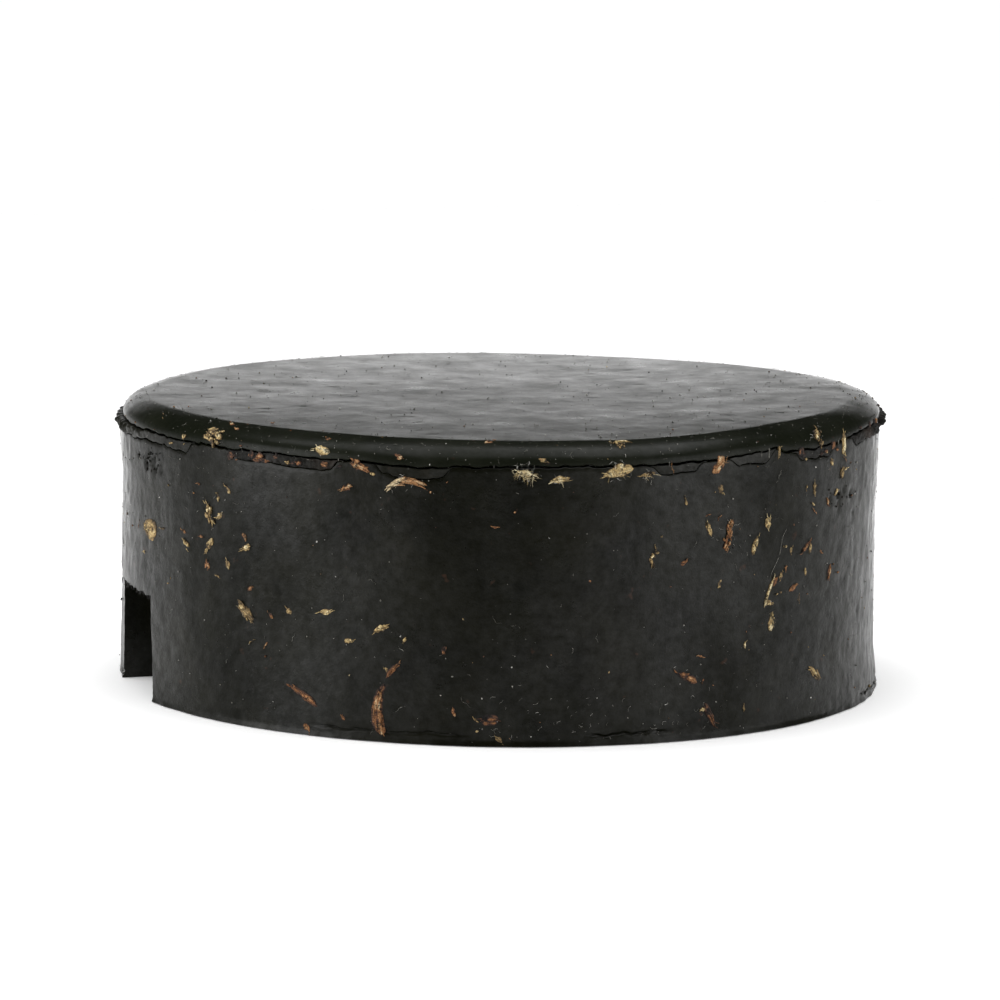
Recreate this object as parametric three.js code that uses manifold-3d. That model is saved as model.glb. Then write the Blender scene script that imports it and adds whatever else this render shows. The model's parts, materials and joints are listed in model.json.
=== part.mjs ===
// A slotted round rubber pad, pressed from reclaimed rubber: a slotted base block, a rounded cap above
// the parting line, strips of torn moulding flash between them, and bits of cord and husk in the skin.
// Millimetres, +Z up. The origin is the centre of the underside, and the slot runs along X.
import * as THREE from 'three';
import { mergeVertices } from 'three/addons/utils/BufferGeometryUtils.js';
import Module from 'manifold-3d';

const wasm = await Module();
wasm.setup();

// Driving dimensions of the pad
const BASE_RADIUS = 32.5;
const WALL_DRAFT = 0.2;          // how far the wall leans in between the base and the parting line
const PART_LINE = 22.65;         // height of the parting line, where the cap begins
const DECK_RADIUS = 30.0;        // flat part of the top
const PAD_HEIGHT = 24.5;
const BASE_EDGE = 0.3;           // small chamfer round the underside
const SLOT_MOUTH_WIDTH = 11.4;
const SLOT_ROOF_WIDTH = 9.6;
const SLOT_HEIGHT = 8.8;
const FRONT_BEARING = -18;       // the pad's front, in degrees round from -Y towards +X
const ROUND_STEPS = 96;          // facets round the pad
const SHOULDER_STEPS = 6;        // facets over the rounded shoulder

// The flash lies in a rebate under the cap
const REBATE_HEIGHT = 0.95;
const REBATE_DEPTH = 1.1;
const FLASH_CLEARANCE = 0.12;
const FLASH_REACH = 0.8;         // how far the torn edge stands out from the wall
const FLASH_TEAR = 0.22;         // how far the torn edge wanders
const FLASH_STEP = 1.5;          // degrees between the points of a torn edge

// The bits of cord and husk are let into the skin
const BIT_THICKNESS = 0.6;
const BIT_PROUD = 0.22;          // how far a bit stands out of the skin
const BIT_CLEARANCE = 0.12;
const BIT_POINTS = 5;            // points along each side of a bit's outline

// Derived sizes
const SEAM_RADIUS = BASE_RADIUS - WALL_DRAFT;
const REBATE_FLOOR = PART_LINE - REBATE_HEIGHT;
const REBATE_RADIUS = SEAM_RADIUS - REBATE_DEPTH;
const SHOULDER_RUN = SEAM_RADIUS - DECK_RADIUS;
const SHOULDER_RISE = PAD_HEIGHT - PART_LINE;

const RUBBER = { color: 0x1c1c19, roughness: 0.62, metalness: 0 };
const CAP_RUBBER = { color: 0x22231f, roughness: 0.5, metalness: 0 };
const FLASH_RUBBER = { color: 0x2a2a26, roughness: 0.8, metalness: 0 };
const CORD = { color: 0xb4673a, roughness: 0.85, metalness: 0 };
const HUSK = { color: 0xc9a468, roughness: 0.8, metalness: 0 };

// Strips of torn flash, as bearings in degrees where each one starts and ends. A bearing is counted from
// the pad's front, towards its right as seen from outside. The gaps are where the flash has broken away,
// or where a bit lies across it.
const FLASH_STRIPS = [
  [-101, -51], [-43.5, -23], [-18, -6.5], [22, 31], [35, 44],
  [47.5, 59], [64, 79], [82.5, 132], [138, 180], [208, 236], [240, 252],
];

// Bits in the skin: name, bearing and height of the point midway between the two ends, length, width, tilt
// from level as seen from outside, and how far the middle bows away from that point.
const CORD_BITS = [
  ['cord_long', -16.5, 2.75, 4.3, 0.9, 87, 0.5],
  ['cord_long_tail', -15, 6, 1.7, 0.5, 50, 0],
  ['cord_low_left', -29, 3.25, 3.2, 0.6, -30, 0.1],
  ['cord_low_right', 28, 5.25, 2.4, 0.6, -25, 0.05],
  ['cord_foot_right', 32, 2, 2.6, 0.6, -60, 0.1],
  ['cord_foot_middle', -1, 2.25, 1.5, 0.9, 0, 0],
  ['cord_arch', -13.5, 20.75, 3.4, 0.6, 6, 0.7],
  ['cord_seam_left', -20.5, 22.25, 1.9, 0.6, -20, 0.1],
  ['cord_seam_right', 33, 22.25, 1.5, 0.8, 40, 0],
  ['cord_left_small', -22.5, 20.5, 1.0, 0.5, 30, 0],
  ['cord_right_small', 48, 11.5, 1.0, 0.5, 25, 0],
  ['cord_upright', 35, 16.5, 2.7, 0.8, 85, 0.05],
  ['cord_side_right', 57.5, 12.25, 1.3, 0.6, 80, 0],
  ['cord_slant_right', 51, 14.75, 1.5, 0.4, 35, 0],
  ['cord_rear_1', 128, 5.5, 3.4, 0.7, -65, 0.15],
  ['cord_rear_2', 155, 3, 2.6, 0.6, 25, 0.1],
  ['cord_rear_3', 203, 12.5, 2.2, 0.7, -40, 0],
  ['cord_rear_4', 246, 5.25, 2.9, 0.6, 70, 0.1],
];
const HUSK_BITS = [
  ['husk_left_edge', -64, 14.5, 2.8, 1.8, 0, 0],
  ['husk_left_low', -39.5, 9.5, 2.3, 0.8, -40, 0.05],
  ['husk_left_high', -47, 17, 2.3, 0.8, -65, 0],
  ['husk_left_slant', -47, 14.5, 1.4, 0.6, 55, 0],
  ['husk_left_spot', -39.5, 14.75, 1.0, 0.6, 30, 0],
  ['husk_left_outer', -52.5, 14, 1.2, 0.6, -50, 0],
  ['husk_middle_left', -17, 9.25, 1.3, 0.6, 25, 0],
  ['husk_middle_gold', -25.5, 10.25, 1.1, 0.5, 5, 0],
  ['husk_shoulder_left', -47, 23.5, 2.1, 1.3, -20, 0],
  ['husk_shoulder_bead', -26.5, 23.25, 1.5, 0.8, -10, 0],
  ['husk_seam_tuft', 3.5, 22.25, 2.2, 1.0, -10, 0],
  ['husk_seam_sliver', 8.5, 21.75, 1.7, 0.5, 10, 0],
  ['husk_seam_lens', 17, 22.25, 2.6, 0.9, 12, 0.1],
  ['husk_seam_trail', 21.5, 22, 1.3, 0.4, 10, 0],
  ['husk_shoulder_right', 54.5, 23.5, 1.3, 0.9, 70, 0],
  ['husk_seam_right', 61.5, 22.5, 1.4, 0.6, 80, 0],
  ['husk_centre_right', 22.5, 15.25, 2.0, 0.4, 80, 0],
  ['husk_right_slant', 31.5, 17.25, 1.3, 0.5, -65, 0],
  ['husk_right_spot', 42.5, 17.25, 1.0, 0.7, 80, 0],
  ['husk_right_high', 53, 19.5, 1.1, 0.4, 85, 0],
  ['husk_right_edge', 61, 20.25, 0.9, 0.7, 85, 0],
  ['husk_upright', 40, 15.5, 1.7, 0.5, 70, 0.05],
  ['husk_straw', 43, 11.5, 2.7, 0.3, 65, 0.1],
  ['husk_straw_tuft', 43.5, 9, 1.6, 0.7, 85, 0],
  ['husk_low_right', 54, 4, 2.3, 0.7, -35, 0],
  ['husk_rear_1', 126, 15.25, 2.1, 0.9, 40, 0],
  ['husk_rear_2', 174, 9.25, 1.8, 0.8, -50, 0],
  ['husk_rear_3', 224, 18.5, 2.0, 0.7, 15, 0],
  ['husk_rear_4', 258, 17.25, 1.6, 0.8, 75, 0],
];

const radians = THREE.MathUtils.degToRad;

// A closed three.js geometry as a solid, and a solid as a geometry again
function solidOf(geometry) {
  const bare = geometry.clone();
  bare.deleteAttribute('normal');
  bare.deleteAttribute('uv');
  const merged = mergeVertices(bare, 1e-5);
  return new wasm.Manifold(new wasm.Mesh({
    numProp: 3,
    vertProperties: new Float32Array(merged.attributes.position.array),
    triVerts: new Uint32Array(merged.index.array),
  }));
}

function geometryOf(solid) {
  const mesh = solid.getMesh();
  const geometry = new THREE.BufferGeometry();
  geometry.setAttribute('position', new THREE.BufferAttribute(new Float32Array(mesh.vertProperties), 3));
  geometry.setIndex(new THREE.BufferAttribute(new Uint32Array(mesh.triVerts), 1));
  geometry.computeVertexNormals();
  return geometry;
}

function namedMesh(name, geometry, finish) {
  const mesh = new THREE.Mesh(geometry, new THREE.MeshStandardMaterial(finish));
  mesh.name = name;
  return mesh;
}

// A body turned about Z from [radius, height] corners that start and end on the axis
function turned(corners) {
  const outline = corners.map(([radius, height]) => new THREE.Vector2(radius, height));
  const geometry = new THREE.LatheGeometry(outline, ROUND_STEPS);
  geometry.rotateX(Math.PI / 2);
  return solidOf(geometry);
}

// Where the skin is at a height: its radius, and how far it leans back from upright
function skinAt(height) {
  if (height <= PART_LINE) {
    return { radius: BASE_RADIUS - WALL_DRAFT * height / PART_LINE, lean: 0 };
  }
  const turn = Math.asin(Math.min(1, (height - PART_LINE) / SHOULDER_RISE));
  return {
    radius: DECK_RADIUS + SHOULDER_RUN * Math.cos(turn),
    lean: Math.atan2(Math.sin(turn) / SHOULDER_RISE, Math.cos(turn) / SHOULDER_RUN),
  };
}

// Turns and places a flat shape against the skin, with its own z axis pointing straight out
function skinPlace(bearing, height, tilt) {
  const { radius, lean } = skinAt(height);
  const turn = radians(FRONT_BEARING + bearing);
  const out = new THREE.Vector3(Math.sin(turn), -Math.cos(turn), 0);
  const along = new THREE.Vector3(Math.cos(turn), Math.sin(turn), 0);
  const normal = out.clone().multiplyScalar(Math.cos(lean));
  normal.z = Math.sin(lean);
  const up = normal.clone().cross(along);
  const place = new THREE.Matrix4().makeBasis(along, up, normal);
  place.multiply(new THREE.Matrix4().makeRotationZ(radians(tilt)));
  place.setPosition(out.x * radius, out.y * radius, height);
  return place;
}

// The outline of a bit: blunt for a cord, pointed for a husk
function bitOutline(length, width, bow, bluntness) {
  const sides = [[], []];
  for (let step = 0; step <= BIT_POINTS; step += 1) {
    const t = -1 + 2 * step / BIT_POINTS;
    const half = width / 2 * (bluntness + (1 - bluntness) * (1 - t * t));
    const middle = bow * (1 - t * t);
    sides[0].push(new THREE.Vector2(t * length / 2, middle - half));
    sides[1].unshift(new THREE.Vector2(t * length / 2, middle + half));
  }
  return new THREE.Shape([...sides[0], ...sides[1]]);
}

function bitSlab(length, width, bow, bluntness, from, to) {
  const outline = bitOutline(length, width, bow, bluntness);
  const geometry = new THREE.ExtrudeGeometry(outline, { depth: to - from, bevelEnabled: false });
  geometry.translate(0, 0, from);
  return geometry;
}

function bitAndPocket([name, bearing, height, length, width, tilt, bow], bluntness, finish) {
  const place = skinPlace(bearing, height, tilt);
  const slab = bitSlab(length, width, bow, bluntness, BIT_PROUD - BIT_THICKNESS, BIT_PROUD);
  const bit = namedMesh(name, slab, finish);
  bit.applyMatrix4(place);
  const wide = 2 * BIT_CLEARANCE;
  const floor = BIT_PROUD - BIT_THICKNESS - BIT_CLEARANCE;
  const room = bitSlab(length + wide, width + wide, bow, bluntness, floor, 2);
  return { bit, pocket: solidOf(room.applyMatrix4(place)) };
}

// The room of the slot: a prism along X that is widest at its mouth and runs out past both faces
function slotRoom() {
  const flare = (SLOT_MOUTH_WIDTH - SLOT_ROOF_WIDTH) / 2;
  const outline = new THREE.Shape([
    new THREE.Vector2(-SLOT_MOUTH_WIDTH / 2 - flare, -SLOT_HEIGHT),
    new THREE.Vector2(SLOT_MOUTH_WIDTH / 2 + flare, -SLOT_HEIGHT),
    new THREE.Vector2(SLOT_ROOF_WIDTH / 2, SLOT_HEIGHT),
    new THREE.Vector2(-SLOT_ROOF_WIDTH / 2, SLOT_HEIGHT),
  ]);
  const length = 3 * BASE_RADIUS;
  const prism = new THREE.ExtrudeGeometry(outline, { depth: length, bevelEnabled: false });
  prism.translate(0, 0, -length / 2);
  prism.rotateX(Math.PI / 2);
  prism.rotateZ(Math.PI / 2);
  return solidOf(prism);
}

// The block below the parting line, with the slot across its underside and a rebate for the flash
function baseBlock() {
  const block = turned([
    [0, 0], [BASE_RADIUS - BASE_EDGE, 0], [BASE_RADIUS, BASE_EDGE],
    [skinAt(REBATE_FLOOR).radius, REBATE_FLOOR], [REBATE_RADIUS, REBATE_FLOOR],
    [REBATE_RADIUS, PART_LINE], [0, PART_LINE],
  ]);
  return block.subtract(slotRoom());
}

// The cap above the parting line: a rounded shoulder and a flat deck
function topCap() {
  const corners = [[0, PART_LINE], [SEAM_RADIUS, PART_LINE]];
  for (let step = 1; step <= SHOULDER_STEPS; step += 1) {
    const turn = Math.PI / 2 * step / SHOULDER_STEPS;
    corners.push([DECK_RADIUS + SHOULDER_RUN * Math.cos(turn), PART_LINE + SHOULDER_RISE * Math.sin(turn)]);
  }
  corners.push([0, PAD_HEIGHT]);
  return turned(corners);
}

// One strip of flash: its inner edge follows the rebate, and its outer edge is torn
function flashStrip([from, to]) {
  const count = Math.max(2, Math.round((to - from) / FLASH_STEP));
  const inner = [];
  const outer = [];
  for (let step = 0; step <= count; step += 1) {
    const bearing = radians(FRONT_BEARING + from + (to - from) * step / count);
    const wander = FLASH_TEAR * (Math.sin(23 * bearing) + Math.sin(57 * bearing + 1.3)) / 2;
    const reach = SEAM_RADIUS + FLASH_REACH - FLASH_TEAR + wander;
    const hold = REBATE_RADIUS + FLASH_CLEARANCE;
    outer.push(new THREE.Vector2(reach * Math.sin(bearing), -reach * Math.cos(bearing)));
    inner.unshift(new THREE.Vector2(hold * Math.sin(bearing), -hold * Math.cos(bearing)));
  }
  const depth = REBATE_HEIGHT - 2 * FLASH_CLEARANCE;
  const outline = new THREE.Shape([...outer, ...inner]);
  const geometry = new THREE.ExtrudeGeometry(outline, { depth, bevelEnabled: false });
  geometry.translate(0, 0, REBATE_FLOOR + FLASH_CLEARANCE);
  return solidOf(geometry);
}

const CORD_BLUNTNESS = 0.55;
const HUSK_BLUNTNESS = 0.12;
const cords = CORD_BITS.map((row) => bitAndPocket(row, CORD_BLUNTNESS, CORD));
const husks = HUSK_BITS.map((row) => bitAndPocket(row, HUSK_BLUNTNESS, HUSK));
const bits = [...cords, ...husks];
const withPockets = (solid) => bits.reduce((left, { pocket }) => left.subtract(pocket), solid);

const pad = new THREE.Group();
pad.add(namedMesh('base_block', geometryOf(withPockets(baseBlock())), RUBBER));
pad.add(namedMesh('top_cap', geometryOf(withPockets(topCap())), CAP_RUBBER));
FLASH_STRIPS.forEach((span, index) => {
  const name = `flash_strip_${String(index + 1).padStart(2, '0')}`;
  pad.add(namedMesh(name, geometryOf(withPockets(flashStrip(span))), FLASH_RUBBER));
});
pad.add(...bits.map(({ bit }) => bit));

export default pad;
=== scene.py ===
"""A slotted round pad pressed from reclaimed rubber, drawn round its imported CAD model.

Shapes are worked out in millimetres and turned into metres where a mesh is made. A bearing is in degrees,
counted from the pad's front towards its right as seen from outside. A reach is the distance in millimetres
along the pad's outline: up the wall from the underside, over the shoulder and across the deck.
"""
import itertools
import json

import bpy
import numpy as np
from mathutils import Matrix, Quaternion, Vector


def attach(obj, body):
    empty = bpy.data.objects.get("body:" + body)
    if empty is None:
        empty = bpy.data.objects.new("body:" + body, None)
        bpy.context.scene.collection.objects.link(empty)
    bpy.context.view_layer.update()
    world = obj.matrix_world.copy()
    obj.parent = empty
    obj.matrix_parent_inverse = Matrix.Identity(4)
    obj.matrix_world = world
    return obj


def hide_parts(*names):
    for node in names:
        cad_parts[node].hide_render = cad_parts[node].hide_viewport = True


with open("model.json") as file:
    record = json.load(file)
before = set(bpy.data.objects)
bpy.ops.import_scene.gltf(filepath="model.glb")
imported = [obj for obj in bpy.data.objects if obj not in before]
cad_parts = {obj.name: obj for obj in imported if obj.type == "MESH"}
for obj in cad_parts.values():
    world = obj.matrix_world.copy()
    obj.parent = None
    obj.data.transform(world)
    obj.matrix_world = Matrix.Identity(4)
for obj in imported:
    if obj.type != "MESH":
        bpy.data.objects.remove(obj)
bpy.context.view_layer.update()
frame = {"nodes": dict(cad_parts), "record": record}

MM = 0.001
# The pad's front, in degrees from -y towards +x, and the ways to its right and to its back
FRONT_BEARING = -18.0
FRONT_TURN = np.radians(FRONT_BEARING)
RIGHT = np.array([np.cos(FRONT_TURN), np.sin(FRONT_TURN), 0])
BACK = np.array([-np.sin(FRONT_TURN), np.cos(FRONT_TURN), 0])


def cad_points(node):
    """The corners of a CAD node, in millimetres."""
    return np.array([corner.co for corner in frame["nodes"][node].data.vertices]) / MM


# Sizes read from the CAD model
BLOCK = cad_points("base_block")
CAP = cad_points("top_cap")
BASE_RADIUS = BLOCK[:, 1].max()
PART_LINE = CAP[:, 2].min()
PAD_HEIGHT = CAP[:, 2].max()
SEAM_RADIUS = np.hypot(CAP[:, 0], CAP[:, 1]).max()
DECK_RADIUS = np.hypot(*CAP[CAP[:, 2] > PAD_HEIGHT - 0.001][:, :2].T).max()
SLOT_MOUTH = np.abs(BLOCK[BLOCK[:, 2] < 0.001][:, 1]).min()
SLOT_ROOF_HEIGHT = [m for m in frame["record"]["mounts"] if m["name"] == "slot_roof"][0]["pos_m"][2] / MM
AT_ROOF = np.abs(BLOCK[np.abs(BLOCK[:, 2] - SLOT_ROOF_HEIGHT) < 0.02][:, 1])
SLOT_ROOF = AT_ROOF[AT_ROOF < SLOT_MOUTH].max()
SLOT_BEARINGS = (-90 - FRONT_BEARING, 90 - FRONT_BEARING)
FLASH_NODES, CORD_NODES, HUSK_NODES = (
    sorted(node for node in frame["nodes"] if node.startswith(kind)) for kind in ("flash_", "cord_", "husk_"))

# The flash under the cap: its height, the radius of its root and how many degrees its ends taper over
FLASH_HEIGHT = 0.85
FLASH_ROOT = SEAM_RADIUS - 1.0
FLASH_TAPER = 2.6


# ---- Numbers, noise and the pad's outline ----

def smooth(low, high, value):
    """0 below low, 1 above high, and an even curve between them."""
    t = np.clip((value - low) / (high - low), 0, 1)
    return t * t * (3 - 2 * t)


def noise(points, size, seed):
    """Noise between -1 and 1, in lumps about size mm across. size may differ along x, y and z."""
    cell = np.asarray(points, float) / size + 19.19 * seed
    corner = np.floor(cell).astype(np.int64)
    part = cell - corner
    part = part * part * part * (part * (part * 6 - 15) + 10)
    total = np.zeros(cell.shape[:-1])
    for step in itertools.product((0, 1), repeat=3):
        at = corner + np.array(step)
        mixed = at[..., 0] * 73856093 ^ at[..., 1] * 19349663 ^ at[..., 2] * 83492791
        mixed = (mixed ^ (mixed >> 13)) * 1274126177 & 0xFFFFFFFF
        mixed = (mixed ^ (mixed >> 16)) * 668265263 & 0xFFFFFFFF
        weight = np.prod(np.where(step, part, 1 - part), axis=-1)
        total = total + weight * (mixed / 0x7FFFFFFF - 1)
    return total


def rough_noise(points, size, seed):
    """Noise with finer noise on it."""
    layers = [noise(points, np.asarray(size) / 2 ** k, seed + 7 * k) / 2 ** k for k in range(3)]
    return sum(layers) / 1.5


# The shoulder bulges and meets the deck at a slight angle
SHOULDER_TURN = np.radians(np.linspace(0, 70, 25))
SHOULDER_BULGE = np.cos(SHOULDER_TURN) ** 0.68
SHOULDER_OUT = (SHOULDER_BULGE - SHOULDER_BULGE[-1]) / (SHOULDER_BULGE[0] - SHOULDER_BULGE[-1])
SHOULDER_UP = np.sin(SHOULDER_TURN) / np.sin(SHOULDER_TURN[-1])
OUTLINE_RADIUS = np.concatenate([
    [BASE_RADIUS], DECK_RADIUS + (SEAM_RADIUS - DECK_RADIUS) * SHOULDER_OUT, [0.0]])
OUTLINE_HEIGHT = np.concatenate([
    [0.0], PART_LINE + (PAD_HEIGHT - PART_LINE) * SHOULDER_UP, [PAD_HEIGHT]])
OUTLINE_REACH = np.concatenate([
    [0.0], np.cumsum(np.hypot(np.diff(OUTLINE_RADIUS), np.diff(OUTLINE_HEIGHT)))])
WALL_REACH = OUTLINE_REACH[1]
DECK_REACH = OUTLINE_REACH[-2]


def polar(bearing, radius, height):
    """The point at a bearing, radius and height."""
    bearing, radius, height = np.broadcast_arrays(bearing, radius, height)
    turn = np.radians(FRONT_BEARING + bearing)
    return np.stack([radius * np.sin(turn), -radius * np.cos(turn), height], axis=-1)


def skin(bearing, reach, out=0.0):
    """The point at a bearing and a reach, and out mm off the skin."""
    radius = np.interp(reach, OUTLINE_REACH, OUTLINE_RADIUS)
    height = np.interp(reach, OUTLINE_REACH, OUTLINE_HEIGHT)
    rise = np.clip((reach - WALL_REACH) / (DECK_REACH - WALL_REACH), 0, 1) * np.pi / 2
    return polar(bearing, radius + out * np.cos(rise), height + out * np.sin(rise))


def bearing_of(points):
    return np.degrees(np.arctan2(points[..., 0], -points[..., 1])) - FRONT_BEARING


def turn_between(a, b):
    """How far bearing a is from bearing b, from -180 to 180."""
    return (a - b + 180) % 360 - 180


def round_wall(a, b):
    """How far bearing a is from bearing b round the wall, in mm."""
    return np.radians(turn_between(a, b)) * BASE_RADIUS


def near(bearing, at, spread):
    """1 at a bearing, and falling to 0 a few spreads away from it."""
    return np.exp(-(turn_between(bearing, at) / spread) ** 2)


def moved(bearing, distance):
    """The bearing that is a distance in mm further round the wall."""
    return bearing + np.degrees(distance / BASE_RADIUS)


# ---- Meshes ----

def make_object(name, points, faces):
    """A mesh object, from points in millimetres."""
    mesh = bpy.data.meshes.new(name)
    mesh.from_pydata((np.reshape(points, (-1, 3)) * MM).tolist(), [], [list(face) for face in faces])
    mesh.update()
    made = bpy.data.objects.new(name, mesh)
    bpy.context.scene.collection.objects.link(made)
    return made


def shade(mesh, sharp):
    """Shades a mesh smooth, but for its edges that are sharper than an angle in degrees."""
    mesh.shade_smooth()
    mesh.set_sharp_from_angle(angle=np.radians(sharp))


def make_piece(name, points, faces, material, replaced=(), sharp=35, tone=None):
    """A piece of the object. tone is a number for each point, which the fibre materials read."""
    piece = make_object(name, points, faces)
    shade(piece.data, sharp)
    if tone is not None:
        tones = piece.data.attributes.new("tone", "FLOAT", "POINT")
        tones.data.foreach_set("value", np.asarray(tone, np.float32))
    piece.data.materials.append(material)
    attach(piece, "root")
    if replaced:
        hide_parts(*replaced)
    return piece


class Bundle:
    """Collects small shapes so that they become one mesh, with the random numbers that shape them."""

    def __init__(self, rng):
        self.points, self.faces, self.tones, self.count, self.rng = [], [], [], 0, rng

    def add(self, points, faces, tone=0.5):
        points = np.asarray(points).reshape(-1, 3)
        self.faces += [[corner + self.count for corner in face] for face in faces]
        self.points.append(points)
        self.tones.append(np.broadcast_to(tone, len(points)))
        self.count += len(points)

    def piece(self, name, material, slot, replaced=()):
        points, tone = np.concatenate(self.points), np.concatenate(self.tones)
        make_piece(name, points, self.faces, material, replaced, 60, tone)


def grid_faces(rows, columns, closed):
    """Quads over a grid of points that is laid out row by row, joined end to end where closed."""
    ends = columns if closed else columns - 1
    faces = []
    for row in range(rows - 1):
        low, high = row * columns, (row + 1) * columns
        faces += [(low + c, low + (c + 1) % columns, high + (c + 1) % columns, high + c) for c in range(ends)]
    return faces


def swept_faces(count, sides):
    """A closed body swept through count sections that run anticlockwise seen from its far end."""
    last = (count - 1) * sides
    return grid_faces(count, sides, True) + [tuple(range(sides))[::-1], tuple(range(last, last + sides))]


def tube(path, radii, sides):
    """A closed tube along a path of points."""
    path = np.asarray(path, float)
    ahead = np.gradient(path, axis=0)
    ahead /= np.linalg.norm(ahead, axis=1)[:, None] + 1e-9
    aside = np.cross(ahead, [0.31, 0.17, 0.93])
    aside /= np.linalg.norm(aside, axis=1)[:, None] + 1e-9
    above = np.cross(ahead, aside)
    angle = np.arange(sides) * 2 * np.pi / sides
    radii = np.broadcast_to(radii, len(path))[:, None, None]
    ring = aside[:, None] * np.cos(angle)[:, None] + above[:, None] * np.sin(angle)[:, None]
    return (path[:, None] + radii * ring).reshape(-1, 3), swept_faces(len(path), sides)


def turned_skin(rows):
    """A closed body from rings of points, each ring running right round, with its ends closed on the axis."""
    count = rows.shape[1]
    flat = rows.reshape(-1, 3)
    ends = np.array([[0, 0, rows[0, :, 2].mean()], [0, 0, rows[-1, :, 2].mean()]])
    start, end = len(flat), len(flat) + 1
    top = (len(rows) - 1) * count
    faces = grid_faces(len(rows), count, True)
    faces += [(start, (c + 1) % count, c) for c in range(count)]
    faces += [(end, top + c, top + (c + 1) % count) for c in range(count)]
    return np.concatenate([flat, ends]), faces


# ---- The relief of the skin ----

# By the number of a strip of flash: how far the crack under the cap leaves the parting line there, in mm
CRACK_LIFTS = {1: -0.15, 3: -0.25, 5: 0.3, 7: 0.25, 8: 0.95, 9: -0.2}
# Strips that have gone to crumbs, with how rough they are in mm, and strips after which the crack kinks up
CRUMBLY = {2: 0.24, 10: 0.2, 6: 0.08, 7: 0.08, 8: 0.06}
KINKED = (5, 9)


def jag(bearing, size, seed):
    """Noise round the seam."""
    return noise(polar(bearing, SEAM_RADIUS, 0.0), size, seed)


def crack_course(bearing):
    """The smooth course of the open crack under the cap."""
    rise = 0.06 * jag(bearing, 6, 61)
    for strip, lift in CRACK_LIFTS.items():
        start, end = FLASH_SPANS[strip]
        rise = rise + lift * np.exp(-(turn_between(bearing, (start + end) / 2) / (end - start)) ** 2 * 2)
    for strip in KINKED:
        rise = rise + 0.3 * near(bearing, FLASH_SPANS[strip][1], 2)
    return PART_LINE + rise


def crack_height(bearing):
    """The height of the jagged lower lip of the crack."""
    return crack_course(bearing) + 0.07 * jag(bearing, 1.3, 62) + 0.08 * jag(bearing, 0.5, 63)


def crack_gap(bearing):
    """How wide the open crack under the cap is."""
    return 0.085 + 0.065 * jag(bearing, 0.8, 64)


def hairline_gap(bearing):
    """How wide the finer crack under the flash is."""
    return np.clip(0.025 + 0.06 * jag(bearing, 1.1, 65), 0.006, 1)


def flash_span(node):
    """The bearings where a strip of flash starts and ends."""
    points = cad_points(node)
    middle = bearing_of(points.mean(axis=0))
    off = turn_between(bearing_of(points), middle)
    return middle + off.min(), middle + off.max()


FLASH_SPANS = {number: flash_span(node) for number, node in enumerate(FLASH_NODES, 1)}


def flash_height(bearing):
    """The height of the strip of flash at a bearing, 0 where it has broken away."""
    height = np.zeros_like(bearing)
    for start, end in FLASH_SPANS.values():
        middle, half = (start + end) / 2, (end - start) / 2
        inside = half - np.abs(turn_between(bearing, middle))
        height = np.maximum(height, smooth(0, FLASH_TAPER, inside + 0.7 * jag(bearing, 0.6, 68)))
    return FLASH_HEIGHT * height * (0.92 + 0.2 * jag(bearing, 4, 66) + 0.16 * jag(bearing, 1.1, 67))


def pit_field(bearing, height, pits):
    """How deep the skin is at each point because of pits."""
    depth = np.zeros_like(bearing)
    for at, up, radius, deep in pits:
        across = round_wall(bearing, at)
        near_pit = (np.abs(across) < 3 * radius) & (np.abs(height - up) < 3 * radius)
        far = (across[near_pit] ** 2 + (height[near_pit] - up) ** 2) / radius ** 2
        depth[near_pit] = np.maximum(depth[near_pit], deep * np.exp(-far))
    return depth


def groove_field(bearing, height, grooves):
    """How deep the skin is at each point because of grooves."""
    depth = np.zeros_like(bearing)
    for from_at, from_up, to_at, to_up, half, deep in grooves:
        across = round_wall(bearing, from_at)
        run = np.radians(to_at - from_at) * BASE_RADIUS
        climb = to_up - from_up
        length = np.hypot(run, climb)
        along = np.clip((across * run + (height - from_up) * climb) / length ** 2, 0, 1)
        wander = 0.08 * np.sin(along * 19) + 0.05 * np.sin(along * 43 + 1)
        off = (across * climb - (height - from_up) * run) / length + wander
        past = np.hypot(across - along * run, height - from_up - along * climb)
        away = np.where((along > 0) & (along < 1), np.abs(off), past)
        fade = smooth(0, 0.12, along) * smooth(0, 0.12, 1 - along)
        depth = np.maximum(depth, deep * fade * np.exp(-(away / half) ** 2))
    return depth


def scattered_pits(seed, count, low, high):
    """Random small pits, between two heights."""
    rng = np.random.default_rng(seed)
    return [(rng.uniform(-180, 180), rng.uniform(low, high), rng.uniform(0.12, 0.3), rng.uniform(0.03, 0.12))
            for _ in range(count)]


# Bits near which the wall is pitted: how far the pits are under the parting line in mm, and how many
PIT_PATCHES = {"husk_left_edge": (2.4, 16), "husk_right_edge": (4.5, 9), "husk_rear_3": (3.0, 14)}


def pit_patch(seed, node, drop, count):
    """Random deep pits close together, drop mm under the parting line at the bearing of a bit."""
    rng = np.random.default_rng(seed)
    return [(BITS[node].bearing + rng.normal(0, 2.4), PART_LINE - drop + rng.normal(0, 0.5),
             rng.uniform(0.13, 0.24), rng.uniform(0.12, 0.26)) for _ in range(count)]


def scattered_grooves(seed):
    """Random long grooves just above the foot and short slanted ones over the wall."""
    rng = np.random.default_rng(seed)
    grooves = []
    for count, heights, runs, climb, halves, depths in (
            (11, (0.35, 0.9), (6, 30), 0.2, (0.09, 0.13), (0.1, 0.2)),
            (26, (4, 20), (1, 5), 2, (0.06, 0.1), (0.03, 0.08))):
        for _ in range(count):
            start, height = rng.uniform(-180, 180), rng.uniform(*heights)
            grooves.append((start, height, start + rng.uniform(*runs), height + rng.uniform(-climb, climb),
                            rng.uniform(*halves), rng.uniform(*depths)))
    return grooves


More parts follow.
